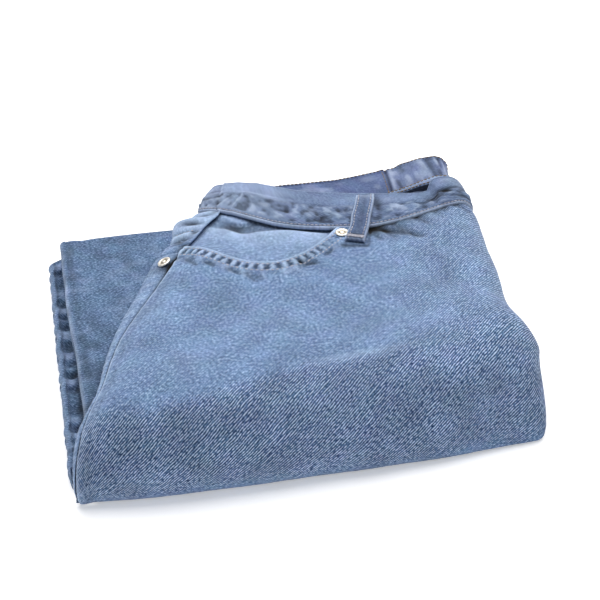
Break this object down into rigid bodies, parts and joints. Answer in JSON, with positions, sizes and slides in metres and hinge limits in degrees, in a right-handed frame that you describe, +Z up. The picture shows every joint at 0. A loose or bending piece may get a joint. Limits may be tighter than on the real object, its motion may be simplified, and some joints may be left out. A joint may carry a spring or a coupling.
{
  "type": "folded tapered jeans",
  "caption": "Blue denim trousers folded lengthwise and across, waistband and front pocket on top, lying flat.",
  "frame": {"origin": "centre of the bounding box in plan, on the surface the folded jeans lie on", "axes": "+X to the right along the front fold, -Y to the front fold, +Y to the waist, +Z up"},
  "size_m": [0.2781, 0.2454, 0.0631],
  "materials": {
    "denim_panel": "washed blue twill with pale wear",
    "denim_band": "washed blue twill, pale puckers along the stitching",
    "denim_layers": "washed blue twill",
    "rivet_metal": "pale worn brass"
  },
  "bodies": {
    "root": {"front_panel_right": "denim_panel", "back_panel_right": "denim_panel", "back_yoke_right": "denim_panel", "pocket_facing_right": "denim_panel", "waistband_front": "denim_band", "waistband_back": "denim_band", "belt_loop_front": "denim_band", "hidden_hip_layers": "denim_layers", "hidden_fold_layers": "denim_layers", "upper_leg_layers": "denim_layers", "lower_leg_layers": "denim_layers", "rivet_upper": "rivet_metal", "rivet_lower": "rivet_metal"}
  },
  "joints": []
}
